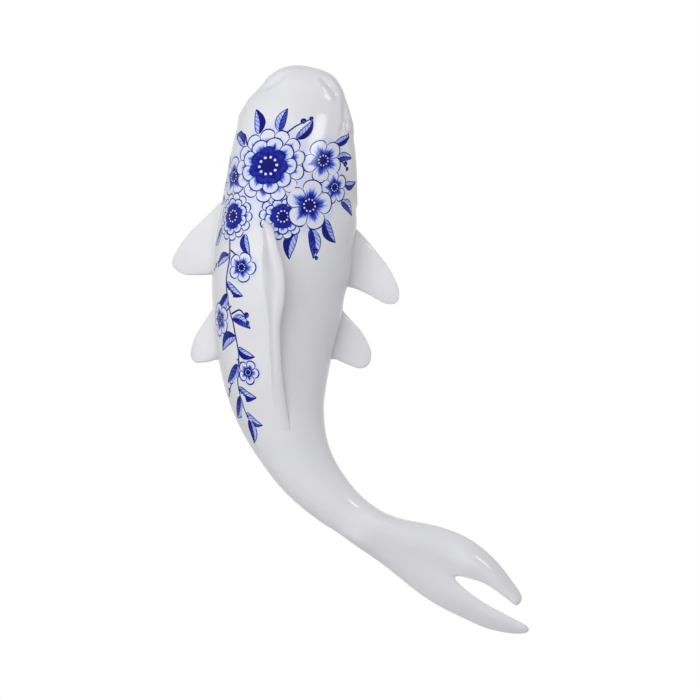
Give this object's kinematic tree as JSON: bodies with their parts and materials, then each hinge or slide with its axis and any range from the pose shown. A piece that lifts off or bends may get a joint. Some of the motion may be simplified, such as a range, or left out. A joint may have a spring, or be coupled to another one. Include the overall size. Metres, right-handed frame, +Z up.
{
  "type": "fish wall hanging",
  "caption": "Hollow glazed porcelain koi with luted fins and a forked tail, painted with a blue floral spray, hung flat on a wall by a keyhole in its belly.",
  "frame": {"origin": "the hanging point: centre of the keyhole slot's upper end, on the wall plane y = 0, straight above the centre of mass", "axes": "+Z up along the hanging fish, snout at the top; +X to the viewer's right; +Y into the wall, so the fish stands out towards -Y"},
  "size_m": [0.1784, 0.0653, 0.2848],
  "materials": {
    "painted_porcelain": "clear gloss glaze over cobalt-blue brush painting",
    "porcelain": "clear gloss glaze",
    "bisque": "unglazed, matt",
    "felt": "pressed wool felt"
  },
  "bodies": {
    "root": {"back_shell": "painted_porcelain", "belly_shell": "porcelain", "keyhole_pad": "bisque", "dorsal_fin": "porcelain", "pectoral_fin_left": "porcelain", "pectoral_fin_right": "porcelain", "pelvic_fin_left": "porcelain", "pelvic_fin_right": "porcelain", "tail_fin": "porcelain", "eye_left": "porcelain", "eye_right": "porcelain", "felt_pad_upper_left": "felt", "felt_pad_upper_right": "felt", "felt_pad_lower": "felt"}
  },
  "joints": []
}
